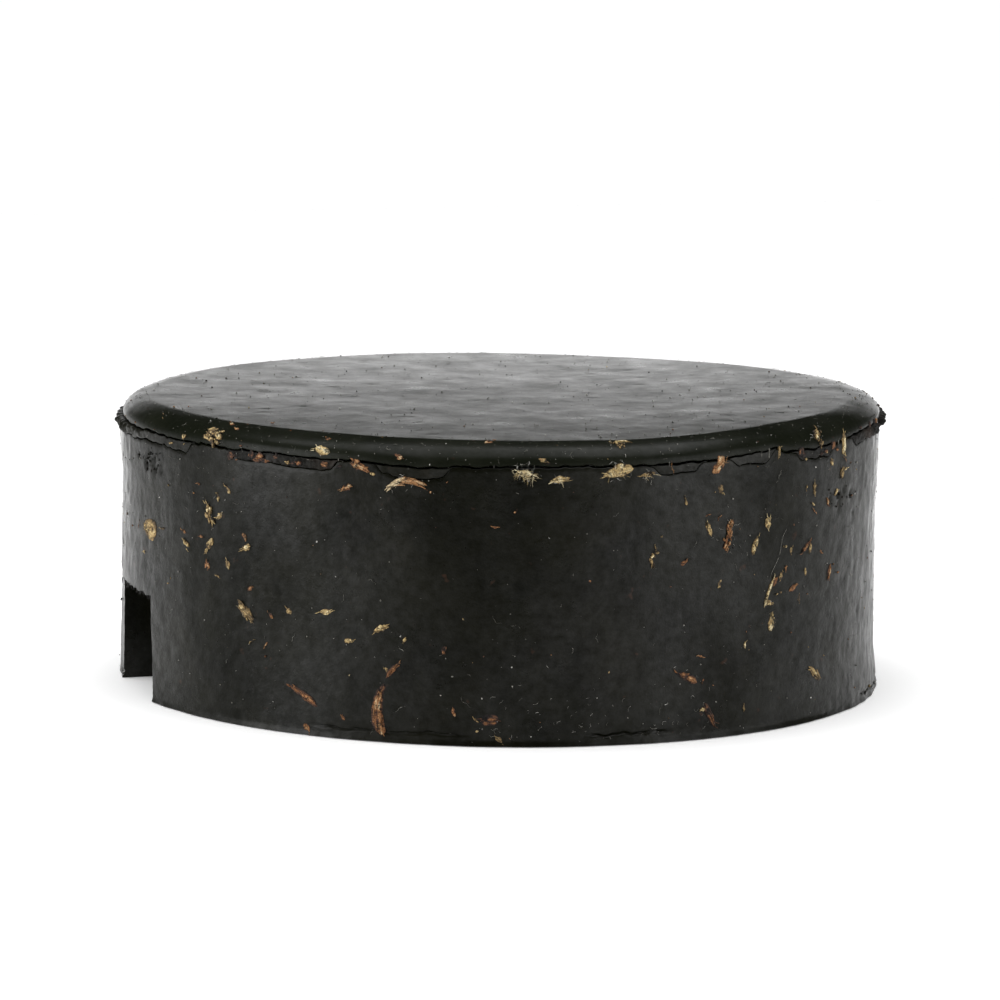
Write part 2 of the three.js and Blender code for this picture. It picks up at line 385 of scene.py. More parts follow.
# Bearings of the wall's waist, of the bulge high on it and of the dent beside the slot
WAIST_AT = 92
BULGE_AT = -92
DENT_AT = -83


def wall_waves(points, bearing, height):
    """The broad waves of the wall, its waist on the right and its bulge high on the left."""
    waist = near(bearing, WAIST_AT, 24) * smooth(1, 4, height) * smooth(20, 15, height)
    bulge = near(bearing, BULGE_AT, 20) * smooth(17.5, 20.5, height)
    waves = 0.05 * noise(points, 15, 1) + 0.03 * noise(points, 6, 2) + 0.02 * noise(points, (5, 5, 17), 8)
    return waves - 0.25 * waist + 0.25 * bulge


def wall_relief(points, bearing, height):
    """How far the skin of the wall stands out from its plain shape."""
    patch = smooth(-0.2, 0.6, noise(points, 9, 3))
    dimples = 0.024 * rough_noise(points, 1.9, 4) * patch + 0.011 * noise(points, 0.8, 5)
    sides = smooth(40, 66, np.abs(turn_between(bearing, 0)))
    wrinkles = 0.055 * sides * rough_noise(points, 0.95, 6)
    pits = scattered_pits(11, 260, 1, 21)
    for number, (node, (drop, count)) in enumerate(PIT_PATCHES.items()):
        pits += pit_patch(12 + number, node, drop, count)
    holes = pit_field(bearing, height, pits)
    cuts = groove_field(bearing, height, scattered_grooves(15))
    return wall_waves(points, bearing, height) + dimples + wrinkles - holes - cuts


def deck_tilt(points):
    """The deck sinks towards the back and lifts at the right."""
    return 0.55 * smooth(8, 31, points @ RIGHT) - 0.33 * smooth(-30, 18, points @ BACK)


def deck_waves(points):
    """The broad waves of the deck."""
    return 0.05 * noise(points, 13, 34) + 0.017 * noise(points, 4.5, 35)


def shoulder(bearing, turn, out=0.0):
    """The point on the cap's shoulder, turn radians up it, and out mm off it."""
    rim = polar(bearing, DECK_RADIUS, PAD_HEIGHT)
    edge = DECK_RADIUS + 0.22 * noise(rim, 8, 31) + 0.025 * noise(rim, 1.8, 37)
    foot = crack_course(bearing) + 0.22
    ragged = (crack_height(bearing) + crack_gap(bearing) + 0.1 - foot) * np.exp(-(turn / 0.1) ** 2)
    lean = np.interp(turn, SHOULDER_TURN, SHOULDER_OUT)
    rise = np.interp(turn, SHOULDER_TURN, SHOULDER_UP)
    slope = np.radians(90) * turn / SHOULDER_TURN[-1]
    radius = edge + (SEAM_RADIUS - edge) * lean + out * np.cos(slope)
    height = foot + (PAD_HEIGHT + deck_tilt(rim) - foot) * rise + ragged
    return polar(bearing, radius, height + out * np.sin(slope))


def lie(bearing, reach, out):
    """The point that lies out mm off the uneven skin."""
    bearing, reach, out = np.broadcast_arrays(bearing, reach, out)
    plain = skin(bearing, reach)
    on_wall = skin(bearing, reach, out + wall_waves(plain, bearing, plain[..., 2]))
    on_deck = skin(bearing, reach, out + deck_tilt(plain) + deck_waves(plain))
    on_shoulder = shoulder(bearing, np.interp(reach, OUTLINE_REACH[1:-1], SHOULDER_TURN), out)
    above, past = reach[..., None] > WALL_REACH, reach[..., None] > DECK_REACH
    return np.where(past, on_deck, np.where(above, on_shoulder, on_wall))


def base_lip(bearing, height):
    """A thin lip of flash that stands out in places round the foot of the wall."""
    reach = 0.07 + 0.06 * jag(bearing, 4, 9) + 0.05 * jag(bearing, 1.2, 10)
    reach = reach + 0.12 * near(bearing, 42, 14)
    return np.clip(reach, 0, None) * np.exp(-(height / 0.33) ** 2)


# ---- Materials ----

class Nodes:
    """Adds nodes to the node tree of a material or of the world."""

    def __init__(self, tree):
        self.tree = tree

    def add(self, kind):
        return self.tree.nodes.new("ShaderNode" + kind)

    def link(self, source, target):
        self.tree.links.new(source, target)

    def place(self, stretch=(1, 1, 1)):
        """Coordinates on the object, which may be squeezed along an axis."""
        coordinates, mapping = self.add("TexCoord"), self.add("Mapping")
        mapping.inputs["Scale"].default_value = stretch
        self.link(coordinates.outputs["Object"], mapping.inputs["Vector"])
        return mapping.outputs["Vector"]

    def noise(self, place, size, detail=4.0, rough=0.55):
        """Noise in lumps about size mm across."""
        texture = self.add("TexNoise")
        texture.inputs["Scale"].default_value = 1 / (size * MM)
        texture.inputs["Detail"].default_value = detail
        texture.inputs["Roughness"].default_value = rough
        self.link(place, texture.inputs["Vector"])
        return texture.outputs["Fac"]

    def ramp(self, value, stops):
        """Turns a value into a colour or a grey, from (place, colour or grey) stops."""
        ramp = self.add("ValToRGB")
        elements = ramp.color_ramp.elements
        while len(elements) < len(stops):
            elements.new(0.5)
        for element, (at, colour) in zip(elements, stops):
            element.position = at
            element.color = (*(colour if isinstance(colour, tuple) else (colour,) * 3), 1)
        self.link(value, ramp.inputs["Fac"])
        return ramp.outputs["Color"]

    def mix(self, amount, first, second, blend="MIX"):
        mix = self.add("Mix")
        mix.data_type = "RGBA"
        mix.blend_type = blend
        for socket, value in zip((mix.inputs[0], mix.inputs[6], mix.inputs[7]), (amount, first, second)):
            if isinstance(value, bpy.types.NodeSocket):
                self.link(value, socket)
            else:
                socket.default_value = value
        return mix.outputs[2]

    def product(self, first, second):
        return self.mix(1.0, first, second, "MULTIPLY")

    def bump(self, height, distance, below=None):
        """The slope of a height field whose heights are distance mm, on top of another slope."""
        bump = self.add("Bump")
        bump.inputs["Distance"].default_value = distance * MM
        self.link(height, bump.inputs["Height"])
        if below is not None:
            self.link(below, bump.inputs["Normal"])
        return bump.outputs["Normal"]


def blank_material(name):
    """A new material, its nodes and the sockets of its shader."""
    material = bpy.data.materials.new(name)
    material.use_nodes = True
    return material, Nodes(material.node_tree), material.node_tree.nodes["Principled BSDF"].inputs


def rubber_material(name, dark, light, bloom, roughness, ior, grain, haze, sheen):
    """Black reclaimed rubber: cloudy, with smears of bloom and rusty stains just under the skin.

    haze gives the size in mm of the fine mottling of its sheen and of the broad patches, and sheen gives the
    sheen's least and most.
    """
    material, nodes, sockets = blank_material(name)
    place = nodes.place()
    clouds = nodes.ramp(nodes.noise(place, 5), [(0.35, dark), (0.7, light)])
    smears = nodes.ramp(nodes.noise(place, 8, 6, 0.65), [(0.56, 0.0), (0.76, 0.7)])
    stains = nodes.ramp(nodes.noise(place, 1.1, 2), [(0.71, 0.0), (0.8, 0.6)])
    colour = nodes.mix(smears, clouds, (*bloom, 1))
    nodes.link(nodes.mix(stains, colour, (0.04, 0.018, 0.01, 1)), sockets["Base Color"])
    dull = nodes.ramp(nodes.noise(place, 3.5, 6, 0.65), list(zip((0.3, 0.7), roughness)))
    nodes.link(dull, sockets["Roughness"])
    mottling = nodes.ramp(nodes.noise(place, haze[0], 8, 0.72), list(zip((0.3, 0.7), sheen)))
    patches = nodes.ramp(nodes.noise(nodes.place((1, 1, 0.45)), haze[1], 4, 0.6), [(0.36, 0.42), (0.64, 1.0)])
    nodes.link(nodes.product(mottling, patches), sockets["Specular IOR Level"])
    sockets["IOR"].default_value = ior
    coarse = nodes.bump(nodes.noise(place, 0.9, 5, 0.6), grain)
    nodes.link(nodes.bump(nodes.noise(place, 0.16, 3, 0.6), grain / 4, coarse), sockets["Normal"])
    return material


def fibre_material(name, stops, roughness, stripe):
    """Fibres whose colour comes from the tone of each strand, from fine streaks and from smears of rubber."""
    material, nodes, sockets = blank_material(name)
    tone = nodes.add("Attribute")
    tone.attribute_name = "tone"
    place = nodes.place()
    strand = nodes.ramp(tone.outputs["Fac"], stops)
    streaks = nodes.noise(place, stripe, 4, 0.7)
    colour = nodes.product(strand, nodes.ramp(streaks, [(0.37, 0.18), (0.6, 1.0)]))
    smears = nodes.ramp(nodes.noise(place, 0.42, 3, 0.6), [(0.36, 0.08), (0.47, 1.0)])
    nodes.link(nodes.product(colour, smears), sockets["Base Color"])
    sockets["Roughness"].default_value = roughness
    sockets["Specular IOR Level"].default_value = 0.2
    nodes.link(nodes.bump(streaks, 0.03), sockets["Normal"])
    return material


WALL_RUBBER = rubber_material(
    "wall_rubber_skin", (0.0019, 0.0021, 0.0007), (0.005, 0.005, 0.0023), (0.0115, 0.0108, 0.0065),
    (0.24, 0.38), 1.26, 0.055, (0.8, 9), (0.34, 0.86))
CAP_RUBBER = rubber_material(
    "cap_rubber_skin", (0.0045, 0.0055, 0.003), (0.0085, 0.0095, 0.006), (0.015, 0.016, 0.012),
    (0.26, 0.37), 1.21, 0.016, (0.55, 9), (0.35, 0.68))
FLASH_RUBBER = rubber_material(
    "flash_rubber_skin", (0.0035, 0.0036, 0.0018), (0.008, 0.008, 0.005), (0.02, 0.016, 0.011),
    (0.28, 0.46), 1.26, 0.06, (0.6, 6), (0.2, 0.9))
TORN_RUBBER = rubber_material(
    "torn_rubber_skin", (0.004, 0.004, 0.003), (0.01, 0.009, 0.007), (0.035, 0.024, 0.018),
    (0.5, 0.75), 1.28, 0.08, (0.8, 6), (0.3, 0.8))
CORD_FIBRE = fibre_material("cord_strands", [
    (0.0, (0.012, 0.009, 0.008)), (0.28, (0.08, 0.042, 0.028)), (0.5, (0.23, 0.095, 0.036)),
    (0.75, (0.42, 0.215, 0.09)), (1.0, (0.72, 0.58, 0.36))], 0.7, 0.12)
HUSK_FIBRE = fibre_material("husk_flakes", [
    (0.0, (0.014, 0.012, 0.009)), (0.25, (0.12, 0.08, 0.04)), (0.5, (0.36, 0.245, 0.105)),
    (0.75, (0.62, 0.46, 0.21)), (1.0, (0.88, 0.77, 0.5))], 0.65, 0.13)
LINT_FIBRE = fibre_material("lint_fibre", [
    (0.0, (0.1, 0.095, 0.08)), (0.5, (0.34, 0.33, 0.29)), (1.0, (0.85, 0.83, 0.78))], 0.8, 0.3)


# ---- The moulding ----

def build_block():
    """The slotted block below the crack."""
    count, foot = 840, 1.3
    columns = np.arange(count) * 360 / count
    top = crack_height(columns) - flash_height(columns)
    rows = [polar(columns, radius, 0.02) for radius in (6, 12, 18, 23, 27, 30, 31.4)]
    rows += [polar(columns, BASE_RADIUS - inset, rise) for inset, rise in ((0.5, 0.01), (0.18, 0.02))]
    first = len(rows)
    heights = list(np.linspace(0.05, foot, 16))
    heights += [foot + (top - foot - 0.1) * share for share in np.linspace(0, 1, 66)[1:]]
    for height in heights:
        rows.append(polar(columns, BASE_RADIUS + (SEAM_RADIUS - BASE_RADIUS) * height / PART_LINE, height))
    for inset, drop in ((0.02, 0.05), (0.06, 0.015), (0.3, 0.0)):
        rows.append(polar(columns, SEAM_RADIUS - inset, top - drop))
    rows.append(polar(columns, FLASH_ROOT - 0.1, top))
    rows.append(polar(columns, FLASH_ROOT - 0.3, PART_LINE - 0.5))
    rows = np.array(rows)
    wall = rows[first:-2]
    bearing, height = bearing_of(wall), wall[..., 2]
    dent = 0.3 * near(bearing, DENT_AT, 4) * smooth(10, 8, height)
    out = wall_relief(wall, bearing, height) + base_lip(bearing, height) - dent
    rows[first:-2] = polar(bearing, np.hypot(wall[..., 0], wall[..., 1]) + out, height)
    points, faces = turned_skin(rows)
    cut_slot(make_piece("base_block_skin", points, faces, WALL_RUBBER, ["base_block"]))


def cut_slot(piece):
    """Cuts the slot, with a ragged edge along its roof where the rubber tore."""
    below = 2.0
    low = SLOT_MOUTH + below * (SLOT_MOUTH - SLOT_ROOF) / SLOT_ROOF_HEIGHT
    roof = [(y, SLOT_ROOF_HEIGHT) for y in np.linspace(SLOT_ROOF, -SLOT_ROOF, 29)]
    section = [(low, -below), *roof, (-low, -below)]
    along = np.arange(-36, 36.01, 0.3)
    points = np.array([[(x, y, z) for y, z in section] for x in along])
    ends = smooth(28.5, 31.5, np.abs(points[..., 0]))
    torn = 0.1 + 0.2 * rough_noise(points, (0.7, 0.55, 5), 21) - 0.06 * noise(points, 3, 22)
    top = np.abs(points[..., 2] - SLOT_ROOF_HEIGHT) < 0.001
    points[..., 2] += top * (ends * torn + 0.05 * noise(points, 4, 23))
    points[..., 1] += top * 0.05 * noise(points, 5, 24)
    cutter = make_object("slot_cutter", points, swept_faces(len(along), len(section)))
    cut = piece.modifiers.new("slot", "BOOLEAN")
    cut.operation = "DIFFERENCE"
    cut.solver = "EXACT"
    cut.object = cutter
    graph = bpy.context.evaluated_depsgraph_get()
    result = bpy.data.meshes.new_from_object(piece.evaluated_get(graph))
    piece.modifiers.clear()
    piece.data = result
    shade(result, 35)
    bpy.data.objects.remove(cutter)


def build_cap():
    """The cap above the crack: a bulging shoulder and a streaky, slightly uneven deck."""
    columns = np.arange(720) * 0.5
    low = crack_height(columns) + crack_gap(columns)
    rows = [polar(columns, radius, PART_LINE + 0.7) for radius in (10, 22, FLASH_ROOT - 0.2)]
    rows.append(polar(columns, FLASH_ROOT, low))
    rows += [polar(columns, SEAM_RADIUS - inset, low + lift) for inset, lift in ((0.3, 0.0), (0.1, 0.04))]
    first = len(rows)
    rows += [shoulder(columns, turn) for turn in SHOULDER_TURN]
    last = len(rows)
    edge = np.hypot(*rows[-1][:, :2].T)
    rows += [polar(columns, edge * share, PAD_HEIGHT) for share in np.linspace(1, 0.012, 80)[1:]]
    rows = np.array(rows)
    deck = rows[last:]
    deck[..., 2] += deck_tilt(deck)
    face = rows[first:]
    inner = smooth(DECK_RADIUS + 1, DECK_RADIUS - 0.5, np.hypot(face[..., 0], face[..., 1]))
    face[..., 2] += deck_relief(face) * inner
    out = (0.03 * noise(face, 5, 32) + 0.008 * rough_noise(face, 1.0, 33)) * (1 - inner)
    face[..., :2] *= (1 + out / SEAM_RADIUS)[..., None]
    points, faces = turned_skin(rows)
    make_piece("top_cap_skin", points, faces, CAP_RUBBER, ["top_cap"], 14)


def deck_relief(points):
    """How far the deck stands above or below its tilted plane."""
    rng = np.random.default_rng(41)
    lift = deck_waves(points) + 0.007 * noise(points, 2.1, 36) + 0.005 * rough_noise(points, 1.1, 38)
    for _ in range(70):
        at = skin(rng.uniform(-180, 180), DECK_REACH, 0)[:2] * np.sqrt(rng.uniform(0.02, 0.95))
        radius, depth = rng.uniform(0.2, 0.6), rng.uniform(0.01, 0.04)
        far = (points[..., 0] - at[0]) ** 2 + (points[..., 1] - at[1]) ** 2
        lift = lift - depth * np.exp(-far / radius ** 2)
    return lift


def build_flash(number, node):
    """One torn strip of flash between the block and the cap."""
    start, end = FLASH_SPANS[number]
    count = int((end - start) / 0.2) + 1
    bearing = np.linspace(start, end, count)
    top = crack_height(bearing)
    low = top - flash_height(bearing) + hairline_gap(bearing)
    middle, half = (top + low) / 2, np.maximum((top - low) / 2, 0.02)
    ends = smooth(0, 1.5, np.minimum(bearing - start, end - bearing))
    sides = smooth(62, 80, np.abs(turn_between(bearing, 0)))
    crumbly = CRUMBLY.get(number, 0.0)
    proud = (0.05 + 0.5 * sides) * ends
    rows = [polar(bearing, FLASH_ROOT, middle + half * 0.8)]
    for turn in np.radians(np.linspace(90, -90, 15)):
        height = middle + half * np.sign(turn) * np.abs(np.sin(turn)) ** (0.6 + 0.3 * sides)
        face = polar(bearing, SEAM_RADIUS, height)
        rough = rough_noise(face, 0.75, 51) * (0.03 + 0.3 * sides)
        rough = rough + rough_noise(face, 0.32, 52) * (crumbly + 0.12 * sides)
        out = (proud + rough * ends) * np.abs(np.cos(turn)) ** (0.35 + 0.35 * sides)
        rows.append(polar(bearing, SEAM_RADIUS - 0.03 + out, height))
    rows.append(polar(bearing, FLASH_ROOT, middle - half * 0.8))
    points, faces = np.array(rows).transpose(1, 0, 2), swept_faces(count, len(rows))
    rubber = TORN_RUBBER if crumbly else FLASH_RUBBER
    make_piece(f"{node}_torn", points, faces, rubber, [node], 50)


# ---- Bits of cord and husk ----

def reach_of(height, radius):
    """The reach of a point on the skin, from its height and radius."""
    samples = np.linspace(0, DECK_REACH + 2, 1500)
    off = np.hypot(
        np.interp(samples, OUTLINE_REACH, OUTLINE_RADIUS) - radius,
        np.interp(samples, OUTLINE_REACH, OUTLINE_HEIGHT) - height)
    return samples[off.argmin()]


class Bit:
    """Where a CAD bit lies on the skin, and its length, width, tilt and bow."""

    def __init__(self, node):
        points = np.unique(np.round(cad_points(node), 3), axis=0)
        middle = points.mean(axis=0)
        self.bearing = float(bearing_of(middle))
        self.reach = reach_of(middle[2], np.hypot(*middle[:2]) + 0.08)
        out = skin(self.bearing, self.reach, 1) - skin(self.bearing, self.reach)
        along = skin(self.bearing + 0.01, self.reach) - skin(self.bearing - 0.01, self.reach)
        up = np.cross(out, along / np.linalg.norm(along))
        flat = np.stack([round_wall(bearing_of(points), self.bearing), (points - middle) @ up], axis=1)
        flat -= flat.mean(axis=0)
        _, axes = np.linalg.eigh(flat.T @ flat)
        long = axes[:, 1] * np.sign(axes[0, 1] + 1e-9)
        self.tilt = np.arctan2(long[1], long[0])
        run = flat @ long
        side = flat @ np.array([-long[1], long[0]])
        self.length = run.max() - run.min()
        curve = np.polyfit(run, side, 2)
        self.bow = -curve[0] * (self.length / 2) ** 2
        self.width = 2 * np.abs(side - np.polyval(curve, run)).max()

    def place(self, right=0, up=0):
        """The bearing and reach of a place that is a way right and up in mm from the bit's middle."""
        return moved(self.bearing, right), self.reach + up

    def bowed(self, share):
        """How far the bit's bow carries its middle line aside, at a share of its half length."""
        return self.bow * (1 / 3 - share * share)

    def at(self, along, across, out):
        """A point on the bit, from places along and across it and out from the skin."""
        side = along * np.cos(self.tilt) - across * np.sin(self.tilt)
        up = along * np.sin(self.tilt) + across * np.cos(self.tilt)
        return lie(moved(self.bearing, side), self.reach + up, out)


class Spot(Bit):
    """A place on the skin for a small fragment."""

    def __init__(self, place, length, width, tilt, bow=0.0):
        self.bearing, self.reach = place
        self.length, self.width, self.tilt, self.bow = length, width, np.radians(tilt), bow


def any_spot(rng, place, sizes, widths, tilts, scale=1):
    """A spot of random length, width as a share of the length, and tilt."""
    size = rng.uniform(*sizes) * scale
    return Spot(place, size, size * rng.uniform(*widths), rng.uniform(*tilts))


BITS = {node: Bit(node) for node in CORD_NODES + HUSK_NODES}


def chip(bundle, bit, tones, skew=0.0, scale=1.0, shift=(0, 0), turn=0.0, lift=0.0,
         rows=25, columns=11, blunt=2.2, whole_leaf=False):
    """A ragged flake partly sunk in the skin, with fibres along it. tones are those of its two ends."""
    rng = bundle.rng
    along, across = np.meshgrid(np.linspace(-1, 1, rows), np.linspace(-1, 1, columns), indexing="ij")
    flat = 0 * along
    flow = np.stack([along * 2.6, flat, flat + rng.uniform(0, 90)], axis=-1)
    edges = np.where(across > 0, noise(flow, 0.7, 81), noise(flow, 0.7, 82))
    ragged = 1 + (0.14 if whole_leaf else 0.36) * edges
    half = bit.width / 2 * scale * np.clip(1 - np.abs(along) ** blunt, 0.01, 1) ** 0.8
    half = half * ragged * (1 + skew * along)
    x = along * bit.length / 2 * scale
    y = across * half + bit.bowed(along) * scale
    x, y = x * np.cos(turn) - y * np.sin(turn) + shift[0], x * np.sin(turn) + y * np.cos(turn) + shift[1]
    fibre = noise(np.stack([along * 0.8, across * 3.5, flat + rng.uniform(0, 90)], axis=-1), 0.8, 83)
    blotch = noise(np.stack([x, y, flat + rng.uniform(0, 90)], axis=-1), 0.35, 84)
    crown = 0.05 * (1 - across ** 2) + 0.035 * fibre + 0.05 * blotch
    top = bit.at(x, y, crown + lift - 0.07 * np.abs(along) ** 5)
    under = bit.at(x, y, lift - 0.12)
    size = rows * columns
    faces = [face[::-1] for face in grid_faces(rows, columns, False)]
    faces += [tuple(size + corner for corner in face[::-1]) for face in faces]
    rim = list(range(columns)) + [r * columns + columns - 1 for r in range(1, rows)]
    rim += [(rows - 1) * columns + c for c in range(columns - 2, -1, -1)]
    rim += [r * columns for r in range(rows - 2, 0, -1)]
    faces += [(a, b, size + b, size + a) for a, b in zip(rim, rim[1:] + rim[:1])]
    rim_shade = 0.3 * np.abs(across) ** 3 + 0.22 * np.abs(along) ** 6
    tone = tones[0] + (tones[1] - tones[0]) * (along + 1) / 2 + 0.32 * fibre + 0.4 * blotch - rim_shade
    bundle.add(np.concatenate([top.reshape(-1, 3), under.reshape(-1, 3)]), faces,
               np.tile(np.clip(tone, 0, 1).ravel(), 2))


def splinter(bundle, bit, start, angle, length, radius, tone):
    """A loose fibre that leaves a bit from a place along and across it."""
    rng = bundle.rng
    t = np.linspace(0, 1, 8)
    bend = rng.uniform(-0.3, 0.3) * length * t * t
    along = start[0] + t * length * np.cos(angle) - bend * np.sin(angle)
    across = start[1] + t * length * np.sin(angle) + bend * np.cos(angle)
    out = 0.05 + radius + t * rng.uniform(-0.06, 0.25) * length
    bundle.add(*tube(bit.at(along, across, out), radius * (1.1 - 0.8 * t), 4), tone=tone)


def frayed_ends(bundle, bit, count, tones, length):
    """Fibres that stick out of both ends of a bit."""
    rng = bundle.rng
    for _ in range(count):
        end = rng.choice([-1, 1])
        start = end * bit.length * rng.uniform(0.2, 0.46), bit.width * rng.uniform(-0.25, 0.25)
        angle = rng.uniform(-0.6, 0.6) + (np.pi if end < 0 else 0)
        splinter(bundle, bit, start, angle, length * rng.uniform(0.4, 1.3), rng.uniform(0.025, 0.05),
                 rng.uniform(*sorted(tones)) + 0.1)


# The bits that catch the eye: the tones of their two ends, then their skew and bluntness if not plain
PLAIN_SHAPE = (0.0, 2)
LOOKS = {
    "cord_long": (0.62, 0.46, -0.35, 8), "cord_long_tail": (0.3, 0.6, -0.2, 2),
    "cord_low_left": (0.52, 0.38, 0.2, 3), "cord_low_right": (0.36, 0.48, 0.4, 4),
    "cord_foot_right": (0.22, 0.25, 0.1, 3), "cord_seam_left": (0.66, 0.48),
    "cord_foot_middle": (0.18, 0.24, 0.0, 4), "cord_arch": (1.1, 0.62), "cord_upright": (0.6, 0.8),
    "cord_seam_right": (0.6, 0.75, 0.3, 3), "cord_left_small": (0.6, 0.7, 0.4, 2),
    "cord_slant_right": (0.45, 0.4), "cord_side_right": (0.4, 0.5),
    "cord_right_small": (0.5, 0.6, 0.2, 2), "husk_left_edge": (0.42, 0.47, 0.3, 3),
    "husk_left_low": (0.3, 0.44, 0.6, 3), "husk_left_high": (0.48, 0.58),
    "husk_shoulder_bead": (0.76, 0.9), "husk_seam_sliver": (0.85, 0.6),
    "husk_seam_lens": (0.7, 0.66, 0.1, 2.2), "husk_straw": (0.85, 0.68, 0.0, 3),
    "husk_straw_tuft": (0.68, 0.58, -0.3, 2), "husk_right_spot": (0.7, 0.75),
    "husk_middle_gold": (0.7, 0.6), "husk_left_spot": (0.6, 0.5, 0.3, 2),
    "husk_centre_right": (0.35, 0.4), "husk_shoulder_right": (0.3, 0.36),
    "husk_shoulder_left": (0.38, 0.48), "husk_seam_tuft": (0.95, 0.9), "husk_seam_right": (0.6, 0.7),
}
# How many small flakes a bit is made up of, how many loose strands it has and how many fine hairs
CLUSTERS = {
    "husk_shoulder_left": 34, "husk_shoulder_right": 14, "cord_upright": 9, "husk_left_high": 12,
    "husk_centre_right": 5, "husk_left_outer": 4,
}
SPLINTERED = {
    "cord_arch": 34, "cord_long": 4, "cord_seam_left": 6, "husk_left_high": 5, "husk_left_low": 9,
    "cord_long_tail": 6, "husk_left_edge": 4, "cord_upright": 5,
}
HAIRY = {
    "husk_seam_tuft": 50, "husk_seam_lens": 12, "husk_left_low": 6, "husk_straw_tuft": 4,
    "husk_seam_sliver": 5, "cord_arch": 5, "husk_seam_trail": 5,
}
# Bits that lie smooth and whole
LEAVES = ("husk_seam_lens", "husk_shoulder_bead", "cord_long", "husk_left_edge", "cord_foot_middle")


def splintered_cord(bundle, bit, count, tones):
    """Loose strands that follow the bow of a bit, each for a part of its length."""
    rng = bundle.rng
    for _ in range(count):
        middle, reach = rng.uniform(-0.7, 0.7), rng.uniform(0.2, 0.5)
        t = np.linspace(max(middle - reach, -1.05), min(middle + reach, 1.05), 10)
        lean = rng.uniform(-0.25, 0.25) * bit.width * (t - middle) / reach
        across = bit.bowed(t) + rng.uniform(-0.4, 0.4) * bit.width + lean
        out = 0.05 + rng.uniform(-0.04, 0.1) + 0.05 * np.sin(t * 5 + rng.uniform(0, 6))
        along = np.linspace(-1, 1, 10)
        radius = rng.uniform(0.035, 0.075) * (1.05 - along ** 4)
        tone = tones[0] + (tones[1] - tones[0]) * (middle + 1) / 2 + rng.uniform(-0.15, 0.15)
        bundle.add(*tube(bit.at(t * bit.length / 2, across, out), radius, 5), tone=tone)


def build_bit(node, seed, material, slot):
    """One bit: a flake with frayed ends, a cluster of small ones or a tuft of strands."""
    bit, rng = BITS[node], np.random.default_rng(seed)
    bundle = Bundle(rng)
    plain = rng.uniform(0.25, 0.75), rng.uniform(0.25, 0.75), rng.uniform(-0.4, 0.4), rng.uniform(1.8, 3.5)
    look = LOOKS.get(node, plain)
    tones = first, last = look[:2]
    skew, blunt = look[2:] or PLAIN_SHAPE
    if node in CLUSTERS:
        for _ in range(CLUSTERS[node]):
            t = rng.uniform(-0.85, 0.85)
            shift = t * bit.length / 2, bit.bowed(t) + rng.uniform(-0.5, 0.5) * bit.width
            size = rng.uniform(0.3, 0.75)
            grain = Spot(bit.place(), size, size * rng.uniform(0.4, 0.7), np.degrees(bit.tilt))
            pair = rng.uniform(-0.25, 0.25) + first, rng.uniform(-0.25, 0.25) + last
            chip(bundle, grain, pair, skew, 1, shift, rng.normal(0, 0.7), rng.uniform(0, 0.12), 11, 5)
    elif node != "cord_arch":
        whole = 0.55 if node == "husk_seam_tuft" else 1
        leaf = node in LEAVES
        chip(bundle, bit, tones, skew, whole, lift=0.03, blunt=blunt, whole_leaf=leaf)
        if not leaf:
            chip(bundle, bit, (last, first), skew, 0.6 * whole, (rng.uniform(-0.1, 0.1) * bit.length, 0),
                 rng.uniform(-0.15, 0.15), 0.05)
    splintered_cord(bundle, bit, SPLINTERED.get(node, 0), tones)
    frayed_ends(bundle, bit, 5, tones, 0.35)
    for _ in range(HAIRY.get(node, 0)):
        start = rng.uniform(-0.35, 0.35) * bit.length, rng.uniform(-0.4, 0.2) * bit.width
        angle, length = rng.uniform(-3.0, 0.6), rng.uniform(0.25, 0.8)
        splinter(bundle, bit, start, angle, length, 0.018, rng.uniform(0.7, 1))
    bundle.piece(f"{node}_frayed", material, slot, [node])


# ---- Small fragments, specks and lint ----

def near_bits(rng, count, spread):
    """Random places round the larger bits."""
    bits = list(BITS.values())
    for _ in range(count):
        bearing, reach = bits[rng.integers(len(bits))].place(*rng.normal(0, spread, 2))
        reach = max(reach, 0.6)
        if clear_of_slot(bearing, reach) and clear_of_leaves(bearing, reach):
            yield bearing, reach


def clear_of_leaves(bearing, reach):
    """Whether a place is away from the bits that lie smooth and whole."""
    leaves = [BITS[node] for node in LEAVES]
    return all(np.hypot(round_wall(bearing, leaf.bearing), reach - leaf.reach) > leaf.length / 2 + 0.3
               for leaf in leaves)


def clear_of_slot(bearing, reach):
    """Whether a place is well away from both mouths of the slot."""
    away = min(abs(turn_between(bearing, mouth)) for mouth in SLOT_BEARINGS)
    return reach > SLOT_ROOF_HEIGHT + 0.6 or away > 11.5


def scatter(rng, count, low_reach, high_reach):
    """Random bearings and reaches over the pad, evenly by area."""
    placed = 0
    while placed < count:
        reach = rng.uniform(low_reach, high_reach)
        radius = np.interp(reach, OUTLINE_REACH, OUTLINE_RADIUS)
        if rng.uniform(0, BASE_RADIUS) > radius:
            continue
        bearing = rng.uniform(-180, 180)
        if clear_of_slot(bearing, reach):
            placed += 1
            yield bearing, reach


